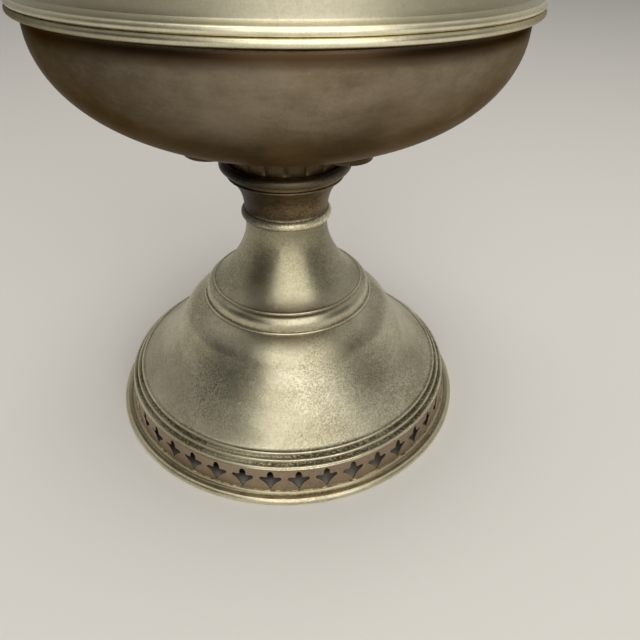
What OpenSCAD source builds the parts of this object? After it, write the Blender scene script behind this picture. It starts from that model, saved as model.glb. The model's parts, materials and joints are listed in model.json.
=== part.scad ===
// Centre draft kerosene lamp: pierced spun foot, flared stem, round oil font,
// central air tube with a ring wick, rack and pinion wick raiser and tall chimney.
// Millimetres, +Z up, origin on the table under the middle of the foot.

/* [Sheet] */
// Thickness of the spun foot and font sheet
sheet_t = 1.0; // [0.6:0.1:1.4]
// Thickness of the drawn tubes
tube_t = 0.6; // [0.4:0.1:0.8]
// Running clearance of sliding and turning fits
run_gap = 0.05; // [0.02:0.01:0.1]
// Clearance under a piece that only rests on another
rest_gap = 0.25; // [0.1:0.05:0.4]

/* [Foot] */
// Diameter over the rolled rim
foot_d = 171.4; // [150:1:190]
// Thickness of the rolled rim
roll_d = 3.2; // [2.4:0.2:4]
// Distance from the rim edge in to the pierced band
band_inset = 5.1; // [4:0.1:8]
// Height of the seat under the band
flange_z = 3.6; // [3.4:0.1:5]
// Height of the pierced band
band_h = 11.6; // [11.4:0.1:16]
// Inward lean of the band over its height
band_lean = 1.1; // [0:0.1:2]
// Number of pierced clubs round the band
club_count = 42; // [24:1:44]
// Width of one pierced club
club_w = 9.3; // [7:0.1:10]
// Height of one pierced club
club_h = 10.1; // [8:0.1:10.3]
// Metal left under the point of a club
club_foot = 0.7; // [0.5:0.1:0.9]
// Turn of the clubs from the front of the lamp, in degrees
club_turn = 1.9; // [0:0.1:8]
// Radius of the clearing hole in the base plate
plate_hole_r = 24; // [18:1:40]

/* [Bell] */
// Height of the bell from the beads to its shoulder
bell_h = 35; // [28:1:45]
// Radius of the bell shoulder
shoulder_r = 39.6; // [36:0.2:44]
// Radial pitch of the three edge beads
bead_pitch_r = 2.25; // [2:0.05:2.6]
// Rise from one edge bead to the next
bead_pitch_z = 1.95; // [1.7:0.05:2.3]
// Width of the rounded step above the shoulder
step_w = 4.7; // [4:0.1:6]
// Height of the rounded step
step_h = 7.2; // [6:0.1:9]
// Height of the cone from the step to the ring
cone_h = 30.2; // [24:0.2:40]

/* [Stem] */
// Air space between the draft tube and the outside of the stem
stem_gap = 2.1; // [2:0.1:5]
// Thickness of the ring round the stem
ring_t = 4.6; // [3.6:0.1:6]
// How far the ring stands out from the stem
ring_out = 1.8; // [1.2:0.1:3]
// Height of the flared neck from the ring to its bead line
neck_h = 19.5; // [17:0.1:26]
// How far the neck flares from the stem to the bead line
neck_flare = 6.2; // [6:0.1:9]
// Height of the rounded collar above the bead line
collar_h = 7; // [6.5:0.1:9]
// How far the collar stands out from the bead line
collar_out = 3.7; // [3:0.1:5]
// Thickness of the collar roll
collar_roll = 4.4; // [4:0.1:4.6]

/* [Font] */
// Height of the crown between the collar seat and the font floor
crown_h = 13; // [12:0.1:17]
// Number of stamped leaves round the crown
leaf_count = 18; // [12:1:24]
// Number of leaf lobes under the font
lobe_count = 4; // [3:1:6]
// Radius of one leaf lobe
lobe_r = 10; // [8:0.2:11]
// Diameter of the font wall
font_d = 174.6; // [160:1:190]
// Radius of the flat font floor
floor_r = 38; // [36:0.5:44]
// Height of the bowl from its floor to the seam
bowl_h = 48.1; // [40:0.5:60]
// How far the seam beads stand out from the font wall
seam_out = 3.6; // [2.5:0.1:4.5]
// Thickness of one seam bead
seam_t = 2.4; // [2:0.1:3]
// Height of the straight wall above the seam
wall_h = 13.5; // [10:0.5:24]
// Height of the rounded shoulder of the font
dome_h = 33.4; // [28:0.2:40]
// Radius of the mouth that takes the burner
mouth_r = 31.6; // [31:0.1:32.5]

/* [Filler] */
// Inner radius of the filler neck
filler_r = 9.2; // [7:0.1:11]
// Height of the filler neck above the font
filler_h = 9; // [8:0.1:12]
// Height of the filler cap skirt
cap_h = 6.4; // [6:0.1:8]
// Thickness of the cork gasket
gasket_t = 1.5; // [1:0.1:2.5]

/* [Draft tube and wick] */
// Bore radius of the central draft tube
draft_r = 15.5; // [14:0.1:16]
// Height of the flame end of the draft tube above the font mouth
burner_h = 56; // [54:0.5:64]
// Thickness of the woven wick
wick_t = 2.8; // [2.4:0.1:3.1]
// Slack on each side of the wick
wick_gap = 0.3; // [0.2:0.05:0.4]
// Travel of the wick below its lit height
wick_down = 12; // [9:0.5:13]
// Height of the wick above the tube at rest
wick_show = 1.5; // [1:0.1:3]

/* [Wick raiser] */
// Teeth on the pinion
pinion_teeth = 12; // [12:1:13]
// Size of one tooth as pitch diameter over tooth count
tooth_module = 0.6667; // [0.62:0.0001:0.68]
// Width of the rack and of the pinion face
rack_w = 2.6; // [2:0.1:3]
// Radius of the raiser spindle
spindle_r = 1.75; // [1.4:0.05:2]
// Radius of the knob
knob_r = 10; // [8:0.5:12]
// Thickness of the knob
knob_t = 5; // [4:0.5:8]
// Flutes round the knob
knob_flutes = 24; // [12:1:30]

/* [Gallery and chimney] */
// Diameter of the chimney foot
chimney_d = 66.7; // [66:0.1:68]
// Height of the chimney
chimney_h = 254; // [200:1:300]
// Thickness of the chimney glass
glass_t = 2; // [1.6:0.1:3]
// Height from the chimney foot to the top of its bulge
bulge_h = 58; // [50:1:66]
// Diameter of the chimney top
chimney_top_d = 46.6; // [44:0.2:56]
// Distance from the chimney foot out to the burner drum
drum_out = 2.6; // [2.4:0.1:4]
// Thickness of the gallery wall
gallery_t = 0.9; // [0.7:0.1:1.2]
// Air holes in one row of the gallery
air_holes = 36; // [24:1:40]
// Radius of one air hole
air_hole_r = 1.4; // [1:0.1:1.6]
// Number of spring fingers that grip the chimney
finger_count = 8; // [5:1:10]
// Holes in one row of the flame spreader
spreader_holes = 24; // [12:1:28]

/* [Hidden] */
round_fn = 96;
small_fn = 32;

nickel = [0.60, 0.58, 0.50];
worn_nickel = [0.55, 0.50, 0.42];
brass = [0.72, 0.58, 0.32];
steel = [0.45, 0.45, 0.44];
cotton = [0.88, 0.84, 0.74];
cork = [0.62, 0.47, 0.32];
clear_glass = [0.85, 0.92, 0.92, 0.35];

// Foot levels and radii
foot_r = foot_d / 2;
roll_r = roll_d / 2;
roll_flat = 0.15;
band_r0 = foot_r - band_inset;
band_r1 = band_r0 - band_lean;
band_top = flange_z + band_h;
lip_w = 3.6;
ridge_r = 0.5;
bead_count = 3;
bell_r = band_r1 - 0.4 - (bead_count - 1) * bead_pitch_r - 1.2;
bell_z = band_top + 1.0 + (bead_count - 1) * bead_pitch_z + 0.1;
shoulder_z = bell_z + bell_h;
step_r = shoulder_r + 0.2;
cone_r = step_r - step_w;
cone_z = shoulder_z + 0.9 + step_h;
stem_top = cone_z + cone_h;

// Draft tube, wick and stem radii
draft_out = draft_r + tube_t;
wick_in = draft_out + wick_gap;
wick_out = wick_in + wick_t;
outer_tube_r = wick_out + wick_gap;
outer_tube_out = outer_tube_r + tube_t + 0.1;
stem_r = draft_out + stem_gap;

// Stem neck, collar and lock nut
ring_r = stem_r + ring_out;
ring_z = stem_top + ring_t / 2;
neck_z0 = stem_top + ring_t;
line_z = stem_top + neck_h;
line_r = stem_r + neck_flare;
collar_top = line_z + collar_h;
collar_r = line_r + collar_out;
roll_c = [collar_r - collar_roll / 2, collar_top - collar_roll / 2];
skirt_drop = 5;
skirt_r = stem_r - sheet_t - run_gap;
skirt_in = skirt_r - 0.8;
ledge_drop = 2;
ledge_z = collar_top - ledge_drop;
ledge_t = 1.2;
nipple_in = draft_out + run_gap;
nipple_r = nipple_in + 2.6;
ledge_hole_r = nipple_r + 0.3;
nut_h = 5.5;
nut_r = nipple_r + 2.2;
nut_room = 0.2;
collar_in = roll_c[0] - collar_roll / 2 + 0.3;

// Crown, font bowl and shell
crown_t = 1.0;
crown_r = collar_in - 0.2;
floor_z = ledge_z + crown_h;
crown_top_r = floor_r;
leaf_groove_r = 0.8;
leaf_groove = 0.4;
lobe_mid_r = 36;
lobe_turn = 39;
lobe_drop = 2.0;
lobe_reach = lobe_mid_r + lobe_r;
font_r = font_d / 2;
seam_z = floor_z + bowl_h;
seam_r = font_r + seam_out;
seam_bead_r = seam_t / 2;
groove_drop = 8.2;
wall_r = font_r - 0.5;
wall_top = seam_z + wall_h;
mouth_z = wall_top + dome_h;
tube_bottom = stem_top + 6.5;
tube_top = mouth_z + burner_h;

// Filler
filler_out = filler_r + 0.8;
filler_at = (font_r + mouth_r) / 2;
cap_r = filler_out + run_gap + 1.4;
cap_top_t = 1.2;
cap_pitch = 2;
cap_flutes = 30;

// Burner
chimney_r = chimney_d / 2;
collar_wall = 2.9;
collar_ring_h = 8;
drum_step = 1;
drum_r = max(chimney_r + drum_out, mouth_r + collar_wall + drum_step);
rim_r = drum_r + 0.25;
drum_z0 = mouth_z + collar_ring_h;
drum_h = 23;
drum_t = 1.0;
thread_r = mouth_r - 0.15;
thread_in = thread_r - 2.4;
outer_tube_z0 = drum_z0 - 48;
outer_tube_top = tube_top - 1;

// Wick and its carrier
wick_top = tube_top + wick_show;
wick_bottom = floor_z + sheet_t + wick_down + 3;
carrier_z0 = wick_bottom + 5;
carrier_h = 8;
carrier_in = wick_out + run_gap;
carrier_out = carrier_in + 0.9;

// Rack, pinion and spindle
pitch_r = pinion_teeth * tooth_module / 2;
addendum = 0.8 * tooth_module;
dedendum = 1.15 * tooth_module;
tooth_pitch = PI * tooth_module;
backlash = 0.08;
pressure = 20;
spindle_z = drum_z0 + 11;
rack_x0 = outer_tube_out + 0.9;
rack_back = 2.2;
rack_y1 = pitch_r + dedendum + rack_back;
rack_top = spindle_z + wick_down + 3.5;
rack_z0 = carrier_z0 + carrier_h;
toothed_from = spindle_z - 10;
slot_room = 0.6;
bush_r = 3.2;
bush_seat = 0.25;
bush_nose = 2;
hex_r = 5.1;
hex_t = 4;
gland_r = 4;
gland_t = 3.6;
gland_x = drum_r + bush_seat + hex_t + bush_nose;
knob_x = drum_r + 14;
knob_hub_r = 3.6;
knob_hub_l = knob_x - gland_x - gland_t - 0.4;

// Gallery and chimney
gallery_in = drum_r + run_gap;
gallery_out = gallery_in + gallery_t;
gallery_z0 = spindle_z + hex_r + 0.4;
gallery_top = drum_z0 + 36;
seat_t = 1;
seat_z = gallery_top - 1 - seat_t;
seat_in = outer_tube_out + 6.7;
chimney_z0 = seat_z + seat_t + rest_gap;
cone_t = 0.6;
cone_top_r = outer_tube_out + 3;
cone_top_z = tube_top - 2;
finger_gap = 0.4;
finger_t = 0.6;
finger_h = 14;
finger_w = 9.5;
air_row_drop = 5.6;
air_row_pitch = 4.4;

// Flame spreader and drip cup
shank_r = draft_r - run_gap;
spreader_r = draft_r - 0.3;
shank_l = 10;
spreader_rise = 10;
spreader_lift = 0.85;
spreader_hole_r = 0.8;
button_r = wick_out + 0.6;
button_h = 3.2;
rivet_r = 2;
cup_flange_t = 0.8;
cup_r = draft_r - 2.5;
cup_depth = 15;
cup_slots = 8;

// Curve helpers: every path keeps the inside of the sheet on its left
function bez(a, b, c, d, n = 10) =
  [for (i = [0:n]) let (t = i / n, u = 1 - t) u*u*u*a + 3*u*u*t*b + 3*u*t*t*c + t*t*t*d];
function arc(c, r, from, to, n = 6) =
  [for (i = [0:n]) let (a = from + (to - from) * i / n) c + r * [cos(a), sin(a)]];
function flip(p) = [for (i = [len(p) - 1:-1:0]) p[i]];
function along(p, i) = let (d = p[min(i + 1, len(p) - 1)] - p[max(i - 1, 0)]) d / norm(d);
function inset(p, t) = [for (i = [0:len(p) - 1]) let (d = along(p, i)) p[i] + t * [-d[1], d[0]]];
function mix(a, b, t) = a + (b - a) * t;

module turned(outline) {
  rotate_extrude($fn = round_fn) polygon(outline);
}

module spun(path, t) {
  turned(concat(path, flip(inset(path, t))));
}

module tube(r_out, r_in, z0, z1) {
  difference() {
    translate([0, 0, z0]) cylinder(r = r_out, h = z1 - z0, $fn = round_fn);
    translate([0, 0, z0 - 1]) cylinder(r = r_in, h = z1 - z0 + 2, $fn = round_fn);
  }
}

// Puts children on a circle about the axis
module around(count, turn = 0) {
  for (i = [0:count - 1]) rotate([0, 0, turn + i * 360 / count]) children();
}

// Rolled rim and the flat lip that carries the band and the base plate
module foot_flange() {
  roll_z = roll_r - roll_flat;
  roll_at = [foot_r - roll_r, roll_z];
  lip_in = band_r0 - lip_w;
  color(nickel) intersection() {
    turned(concat(arc(roll_at, roll_r, -125, 115, 18),
      bez(roll_at + [-1.6, 1.25], roll_at + [-2.4, 1.4], [band_r0 + 1.4, flange_z], [band_r0, flange_z], 5),
      [[lip_in, flange_z], [lip_in, flange_z - sheet_t], [band_r0 + 0.6, flange_z - sheet_t]]));
    cylinder(r = foot_r + 1, h = flange_z + roll_d, $fn = round_fn);
  }
}

// One club: a tall top lobe, two rounded arms and hollow flanks down to a point
module club_shape() {
  neck = [0.15 * club_w, 0.19 * club_h];
  tip_r = 0.105 * club_w;
  tip_at = [club_w / 2 - tip_r, 0.085 * club_h];
  lobe = bez([0, club_h / 2], [0.09 * club_w, club_h / 2], [0.175 * club_w, 0.34 * club_h], neck, 3);
  tip = arc(tip_at, tip_r, 100, -60, 4);
  arm = [mix(neck, tip[0], 0.4) - [0, 0.02 * club_h]];
  flank = bez(tip[4], [0.31 * club_w, -0.06 * club_h], [0.15 * club_w, -0.20 * club_h], [0, -club_h / 2], 4);
  half = concat(lobe, arm, tip, [for (i = [1:4]) flank[i]]);
  polygon(concat(half, flip([for (p = half) if (p[0] > 0) [-p[0], p[1]]])));
}

// Stamped strip with a row of club-shaped air holes
module pierced_band() {
  club_z = flange_z + club_foot + club_h / 2;
  color(worn_nickel) difference() {
    turned([[band_r0 - sheet_t, flange_z], [band_r0, flange_z], [band_r1, band_top], [band_r1 - sheet_t, band_top]]);
    around(club_count, 270 + club_turn)
      translate([band_r1 - 3 * sheet_t, 0, club_z]) rotate([90, 0, 90])
        linear_extrude(height = 6 * sheet_t + band_lean) club_shape();
  }
}

// Edge bead number i, counted from the band inwards
function bead_at(i) = [band_r1 - 0.4 - i * bead_pitch_r, band_top + 1.0 + i * bead_pitch_z];
function ridge(c) = arc(c - 0.7 * [ridge_r, ridge_r], ridge_r, -35, 125, 5);
function bell_path() = let (w = bell_r - shoulder_r) concat(
  bez([bell_r, bell_z], [bell_r - 0.30 * w, bell_z + 0.155 * bell_h],
    [shoulder_r + 0.467 * w, bell_z + 0.423 * bell_h], [shoulder_r + 0.314 * w, bell_z + 0.714 * bell_h], 12),
  bez([shoulder_r + 0.303 * w, bell_z + 0.735 * bell_h], [shoulder_r + 0.249 * w, bell_z + 0.84 * bell_h],
    [shoulder_r + 0.127 * w, bell_z + 0.934 * bell_h], [shoulder_r, shoulder_z], 7));
function cone_path() = concat(
  bez([cone_r - 0.8, cone_z - 0.1], [cone_r - 9.2, cone_z + 0.175 * cone_h],
    [stem_r + 0.2, cone_z + 0.6 * cone_h], [stem_r, stem_top - 3], 12), [[stem_r, stem_top]]);

// Bell with three edge beads, a rounded step and the cone that carries the stem
module foot_bell() {
  step_from = [step_r - 1.4, shoulder_z + 1.8];
  step_to = [cone_r + 0.4, cone_z - 1.0];
  outer = concat([[band_r1, band_top]],
    [for (i = [0:bead_count - 1]) for (p = concat(ridge(bead_at(i)), i < bead_count - 1 ?
      [bead_at(i) + [-bead_pitch_r * 0.62, bead_pitch_z * 0.36]] : [])) p],
    bell_path(), ridge([step_r, shoulder_z + 0.9]), [step_from - [0, 0.5]],
    bez(step_from, step_from + [0, 0.35 * step_h], step_to + [0.42 * step_w, -0.4], step_to, 6),
    ridge([cone_r, cone_z]), cone_path());
  inner = concat([[band_r1 - sheet_t, band_top]], inset(bell_path(), sheet_t),
    [[cone_r - 0.9, shoulder_z + 0.6]], inset(cone_path(), sheet_t));
  color(nickel) turned(concat(outer, flip(inner)));
}

// Flat plate soldered on the lip, with a hole to reach the drip cup
module base_plate() {
  plate_r = band_r0 - sheet_t - 0.2;
  color(steel) turned([[plate_hole_r, flange_z + 2.4], [plate_hole_r, flange_z], [plate_r, flange_z],
    [plate_r, flange_z + 0.8], [plate_hole_r + 2.4, flange_z + 0.8], [plate_hole_r + 0.8, flange_z + 2.4]]);
}

// Flared neck with a ring at its foot and a rolled collar on top
module stem_neck() {
  room_r = nut_r + nut_room;
  nut_floor = ledge_z - ledge_t;
  outer = concat([[skirt_in, stem_top - skirt_drop], [skirt_r, stem_top - skirt_drop], [skirt_r, stem_top]],
    arc([ring_r - ring_t / 2, ring_z], ring_t / 2, -78, 72, 10),
    bez([stem_r + 0.2, neck_z0 + 0.1], [stem_r + 0.3, neck_z0 + 0.36 * neck_h], [line_r - 3.6, line_z - 4], [line_r, line_z], 8),
    ridge([line_r + 0.6, line_z + 0.5]),
    [[line_r + 0.8, line_z + 1.1]], arc(roll_c, collar_roll / 2, -98, 150, 14));
  inner = [[collar_in, ledge_z], [ledge_hole_r, ledge_z], [ledge_hole_r, nut_floor],
    [room_r, nut_floor], [room_r, nut_floor - nut_h - 0.2], [skirt_in + 0.7, neck_z0 + 5], [skirt_in, neck_z0]];
  color(nickel) turned(concat(outer, inner));
}

// Slotted round nut that clamps the font to the stem from below
module lock_nut() {
  top = ledge_z - ledge_t;
  color(brass) difference() {
    tube(nut_r, nipple_r, top - nut_h, top);
    around(4) translate([nut_r - 1.4, -1.5, top - nut_h - 1]) cube([4, 3, 3]);
  }
}

// Space under the font floor and bowl, out to radius r and down to level z
module under_font(r, z) {
  turned(concat([[crown_r - 2, z], [r, z]],
    flip([for (p = concat([[crown_r - 2, floor_z], [floor_r, floor_z]], bowl_curve())) if (p[0] <= r) p])));
}

// Stamped crown with leaf lobes that spreads from the collar to the font
module crown_ring() {
  wall = concat([[crown_r, ledge_z]], bez([crown_r, collar_top], [crown_r + 0.4, floor_z - 4],
    [crown_r + 4, floor_z - 0.8], [crown_top_r, floor_z], 7));
  color(worn_nickel) union() {
    difference() {
      turned(concat(wall, [[crown_top_r - 3, floor_z]], flip([for (p = inset(wall, crown_t)) if (p[1] < floor_z - 1.4) p]),
        [[crown_r - crown_t, ledge_z + crown_t], [ledge_hole_r, ledge_z + crown_t], [ledge_hole_r, ledge_z]]));
      around(leaf_count, 270) translate([crown_r + leaf_groove_r - leaf_groove, 0, collar_top - 0.6])
        cylinder(r = leaf_groove_r, h = floor_z - collar_top, $fn = 16);
    }
    intersection() {
      under_font(lobe_reach + 1, floor_z - lobe_drop);
      around(lobe_count, lobe_turn) translate([lobe_mid_r, 0, floor_z - lobe_drop])
        cylinder(r = lobe_r, h = 8, $fn = small_fn);
    }
  }
}

// Turned ring soldered under the font; its nipple takes the lock nut
module font_base_ring() {
  ring_out_r = crown_r - crown_t - 0.6;
  seat = ledge_z + crown_t;
  color(brass) turned([[nipple_in, ledge_z - ledge_t - nut_h - 3], [nipple_r, ledge_z - ledge_t - nut_h - 3],
    [nipple_r, seat], [ring_out_r, seat], [ring_out_r, floor_z], [nipple_in, floor_z]]);
}

function bowl_curve() = bez([floor_r, floor_z], [floor_r + 26, floor_z + 5],
  [font_r - 0.8, floor_z + 0.4 * bowl_h], [font_r, seam_z - groove_drop], 16);

// Lower half of the font, ending in the lower seam bead
module font_bowl() {
  path = concat([[nipple_in, floor_z]], bowl_curve());
  bead_at = [seam_r - seam_bead_r, seam_z - seam_bead_r];
  color(nickel) turned(concat(path,
    [[font_r, seam_z - 5.1], [font_r - 0.4, seam_z - 3.3], [font_r + 0.9, seam_z - 2.5]],
    arc(bead_at, seam_bead_r, -115, 85, 10),
    [[font_r - sheet_t, seam_z]], flip(inset(path, sheet_t))));
}

function dome_path() = concat([[wall_r, seam_z + 3.4], [wall_r, wall_top]],
  bez([wall_r, wall_top + 0.5], [wall_r, wall_top + 0.46 * dome_h], [wall_r - 14, mouth_z - 0.22 * dome_h],
    [wall_r - 33, mouth_z - 0.12 * dome_h], 14),
  [[rim_r + 2.6, mouth_z - 1.6], [rim_r, mouth_z - 0.2]]);

// Upper half of the font with its seam bead, shoulder and mouth
module font_shell() {
  bead_at = [seam_r - 0.3 - seam_bead_r, seam_z + seam_bead_r];
  path = dome_path();
  color(nickel) difference() {
    turned(concat([[font_r - sheet_t, seam_z]], arc(bead_at, seam_bead_r, -85, 115, 10),
      [[wall_r + 0.9, seam_z + 2.7]], path, [[rim_r - 0.3, mouth_z], [mouth_r, mouth_z],
      [mouth_r, mouth_z - sheet_t]], flip(inset(path, sheet_t))));
    translate([-filler_at, 0, wall_top]) cylinder(r = filler_out, h = dome_h + 5, $fn = 48);
  }
}

// Ring soldered round the mouth, threaded inside for the burner
module font_collar() {
  foot_out = drum_r - 0.15;
  color(brass) turned([[mouth_r, mouth_z], [foot_out, mouth_z], [foot_out, mouth_z + 1.4],
    [mouth_r + collar_wall, mouth_z + 2], [mouth_r + collar_wall, drum_z0], [mouth_r, drum_z0]]);
}

// Central air tube, open at the stem and at the flame
module draft_tube() {
  color(brass) tube(draft_out, draft_r, tube_bottom, tube_top);
}

// Removable perforated cup that catches oil under the draft tube
module drip_cup() {
  flange_top = tube_bottom - run_gap;
  cup_z = flange_top - cup_flange_t;
  color(brass) difference() {
    turned([[shank_r - tube_t, flange_top - cup_flange_t + 0.1], [shank_r - tube_t, tube_bottom + 6],
      [shank_r, tube_bottom + 6], [shank_r, flange_top], [draft_out, flange_top], [draft_out, cup_z],
      [cup_r, cup_z], [cup_r, cup_z - cup_depth + 1], [cup_r - 1, cup_z - cup_depth], [0, cup_z - cup_depth],
      [0, cup_z - cup_depth + tube_t], [cup_r - tube_t, cup_z - cup_depth + tube_t], [cup_r - tube_t, cup_z + 0.1]]);
    around(cup_slots) translate([cup_r - 2, -2, cup_z - 8.5]) cube([5, 4, 7]);
  }
}

function filler_z() = lookup(filler_at, flip(dome_path()));

// Short tube through the font shoulder
module filler_neck() {
  color(brass) translate([-filler_at, 0, 0]) tube(filler_out, filler_r, filler_z() - 6, filler_z() + filler_h);
}

// Cork washer that lies on the filler neck
module filler_gasket() {
  z = filler_z() + filler_h + rest_gap;
  color(cork) translate([-filler_at, 0, z]) cylinder(r = filler_out - 0.1, h = gasket_t, $fn = 48);
}

// Screw cap with a fluted edge
module filler_cap() {
  z = filler_z() + filler_h + rest_gap + gasket_t + rest_gap;
  color(nickel) translate([-filler_at, 0, z - cap_h]) difference() {
    turned([[filler_out + run_gap, 0], [cap_r, 0], [cap_r, cap_h], [cap_r - 1.6, cap_h + cap_top_t],
      [0, cap_h + cap_top_t + 0.8], [0, cap_h], [filler_out + run_gap, cap_h]]);
    around(cap_flutes) translate([cap_r + 0.45, 0, 1]) cylinder(r = 0.8, h = cap_h - 2, $fn = 16);
  }
}

// Burner drum with the thread, the plate round the wick tube and the rack slot
module burner_ring() {
  color(worn_nickel) difference() {
    turned([[thread_in, mouth_z + 1], [thread_r, mouth_z + 1], [thread_r, drum_z0], [drum_r, drum_z0],
      [drum_r, drum_z0 + drum_h], [drum_r - drum_t, drum_z0 + drum_h], [drum_r - drum_t, drum_z0 + drum_t],
      [outer_tube_out, drum_z0 + drum_t], [outer_tube_out, drum_z0], [thread_in, drum_z0]]);
    translate([rack_x0 - slot_room, pitch_r - addendum - slot_room, drum_z0 - 1])
      cube([rack_w + 2 * slot_room, rack_y1 - pitch_r + addendum + 2 * slot_room, drum_t + 2]);
    translate([drum_r - bush_r, 0, spindle_z]) rotate([0, 90, 0]) cylinder(r = bush_r, h = 2 * bush_r, $fn = small_fn);
  }
}

// Outer wick tube
module wick_tube() {
  color(brass) tube(outer_tube_out, outer_tube_r, outer_tube_z0, outer_tube_top);
}

// Woven ring wick
module wick() {
  color(cotton) tube(wick_out, wick_in, wick_bottom, wick_top);
}

// Band that grips the wick, with a lug for the rack
module wick_carrier() {
  lug_y = pitch_r + dedendum;
  color(brass) difference() {
    union() {
      translate([0, 0, carrier_z0]) cylinder(r = carrier_out, h = carrier_h, $fn = round_fn);
      translate([wick_in, lug_y, carrier_z0]) cube([rack_x0 + rack_w - wick_in, rack_back, carrier_h]);
    }
    translate([0, 0, carrier_z0 - 1]) cylinder(r = carrier_in, h = carrier_h + 2, $fn = round_fn);
  }
}

// Rack outline in the YZ plane; its teeth face the pinion
module wick_rack() {
  half = tooth_pitch / 4 - backlash / 2;
  lean = tan(pressure);
  count = floor((rack_top - toothed_from) / tooth_pitch) - 1;
  first = spindle_z - floor((spindle_z - toothed_from) / tooth_pitch) * tooth_pitch;
  root_y = pitch_r + dedendum;
  teeth = [for (i = [0:count]) let (z = first + i * tooth_pitch) if (z + tooth_pitch < rack_top)
    for (p = [[root_y, z - half - dedendum * lean], [pitch_r - addendum, z - half + addendum * lean],
      [pitch_r - addendum, z + half - addendum * lean], [root_y, z + half + dedendum * lean]]) p];
  color(brass) translate([rack_x0, 0, 0]) rotate([90, 0, 90]) linear_extrude(height = rack_w)
    polygon(concat([[rack_y1, rack_z0], [root_y, rack_z0]], teeth, [[root_y, rack_top], [rack_y1, rack_top]]));
}

// Involute flank point at radius r for a gear of base radius b
function inv_at(b, r) = let (a = acos(b / r)) tan(a) * 180 / PI - a;

// Pinion with a tooth space facing the rack tooth that lies on the centre line
module pinion() {
  base_r = pitch_r * cos(pressure);
  tip_r = pitch_r + addendum;
  root_r = pitch_r - dedendum;
  half = 90 / pinion_teeth - backlash / 2 / pitch_r * 180 / PI;
  radii = [for (i = [0:3]) mix(base_r + 0.001, tip_r, i / 3)];
  flank = [for (r = radii) let (a = half + inv_at(base_r, pitch_r) - inv_at(base_r, r)) [r, a]];
  start = 90 + 180 / pinion_teeth;
  outline = [for (i = [0:pinion_teeth - 1]) let (mid = start + i * 360 / pinion_teeth)
    for (p = concat([[root_r, -flank[0][1]]], [for (f = flank) [f[0], -f[1]]], [for (f = flip(flank)) f],
      [[root_r, flank[0][1]]])) p[0] * [cos(mid + p[1]), sin(mid + p[1])]];
  color(brass) translate([rack_x0, 0, spindle_z]) rotate([90, 0, 90]) difference() {
    linear_extrude(height = rack_w) polygon(outline);
    translate([0, 0, -1]) cylinder(r = spindle_r, h = rack_w + 2, $fn = small_fn);
  }
}

// Raiser spindle, from the pinion out to the knob
module raiser_spindle() {
  color(steel) translate([rack_x0, 0, spindle_z]) rotate([0, 90, 0])
    cylinder(r = spindle_r, h = knob_x + knob_t - 1 - rack_x0, $fn = small_fn);
}

// Bush screwed through the drum wall with a hexagon outside
module spindle_bush() {
  bush_in = drum_r - drum_t - 1.5;
  color(brass) translate([bush_in, 0, spindle_z]) rotate([0, 90, 0]) difference() {
    union() {
      cylinder(r = bush_r, h = drum_r + bush_seat - bush_in, $fn = small_fn);
      translate([0, 0, drum_r + bush_seat - bush_in]) cylinder(r = hex_r, h = hex_t, $fn = 6);
      translate([0, 0, drum_r + bush_seat - bush_in]) cylinder(r = bush_r, h = hex_t + bush_nose, $fn = small_fn);
    }
    translate([0, 0, -1]) cylinder(r = spindle_r + run_gap, h = gland_x - bush_in + 2, $fn = small_fn);
  }
}

// Knurled nut that packs the spindle
module gland_nut() {
  color(brass) translate([gland_x, 0, spindle_z]) rotate([0, 90, 0]) difference() {
    union() {
      cylinder(r = gland_r, h = gland_t - 1, $fn = small_fn);
      cylinder(r = gland_r - 1, h = gland_t, $fn = small_fn);
    }
    translate([0, 0, -1]) cylinder(r = spindle_r + run_gap, h = gland_t + 2, $fn = small_fn);
  }
}

// Fluted knob pressed on the end of the spindle
module knob() {
  color(nickel) translate([knob_x, 0, spindle_z]) rotate([0, 90, 0]) difference() {
    rotate_extrude($fn = 64) polygon([[spindle_r, -knob_hub_l], [knob_hub_r, -knob_hub_l], [knob_hub_r, -0.6],
      [knob_r - 1.2, 0], [knob_r, 1], [knob_r, knob_t - 1], [knob_r - 1.2, knob_t], [knob_r - 3, knob_t - 0.8],
      [knob_hub_r, knob_t - 0.8], [knob_hub_r - 0.6, knob_t + 0.4], [0, knob_t + 0.8], [0, knob_t - 1],
      [spindle_r, knob_t - 1]]);
    around(knob_flutes) translate([knob_r + 0.55, 0, -1]) cylinder(r = 1, h = knob_t + 3, $fn = 16);
  }
}

// Sleeve that slides over the drum, with air holes and the chimney seat
module air_gallery() {
  row_z = [gallery_top - air_row_drop - air_row_pitch, gallery_top - air_row_drop];
  color(worn_nickel) difference() {
    turned([[gallery_in, gallery_z0], [gallery_out + 1.6, gallery_z0], [gallery_out + 1.6, gallery_z0 + 1.8],
      [gallery_out, gallery_z0 + 2.4], [gallery_out, gallery_top], [gallery_in, gallery_top],
      [gallery_in, seat_z + seat_t], [seat_in, seat_z + seat_t], [seat_in, seat_z], [gallery_in, seat_z]]);
    for (row = [0:1]) around(air_holes, row * 180 / air_holes) translate([gallery_in - 1, 0, row_z[row]])
      rotate([0, 90, 0]) cylinder(r = air_hole_r, h = gallery_t + 2, $fn = 16);
  }
}

// Ring of spring fingers that holds the chimney foot
module chimney_holder() {
  z = seat_z + seat_t;
  r = chimney_r + finger_gap;
  slit_w = 2 * PI * r / finger_count - finger_w;
  color(brass) difference() {
    turned([[r, z], [gallery_in, z], [gallery_in, z + finger_t], [r + finger_t, z + finger_t],
      [r + finger_t, z + finger_h - 4], [r + finger_t + 1, z + finger_h], [r + 1, z + finger_h + 0.3],
      [r, z + finger_h - 4]]);
    around(finger_count) translate([r - finger_w / 2, -slit_w / 2, z + finger_t]) cube([finger_w, slit_w, finger_h + 2]);
  }
}

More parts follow.
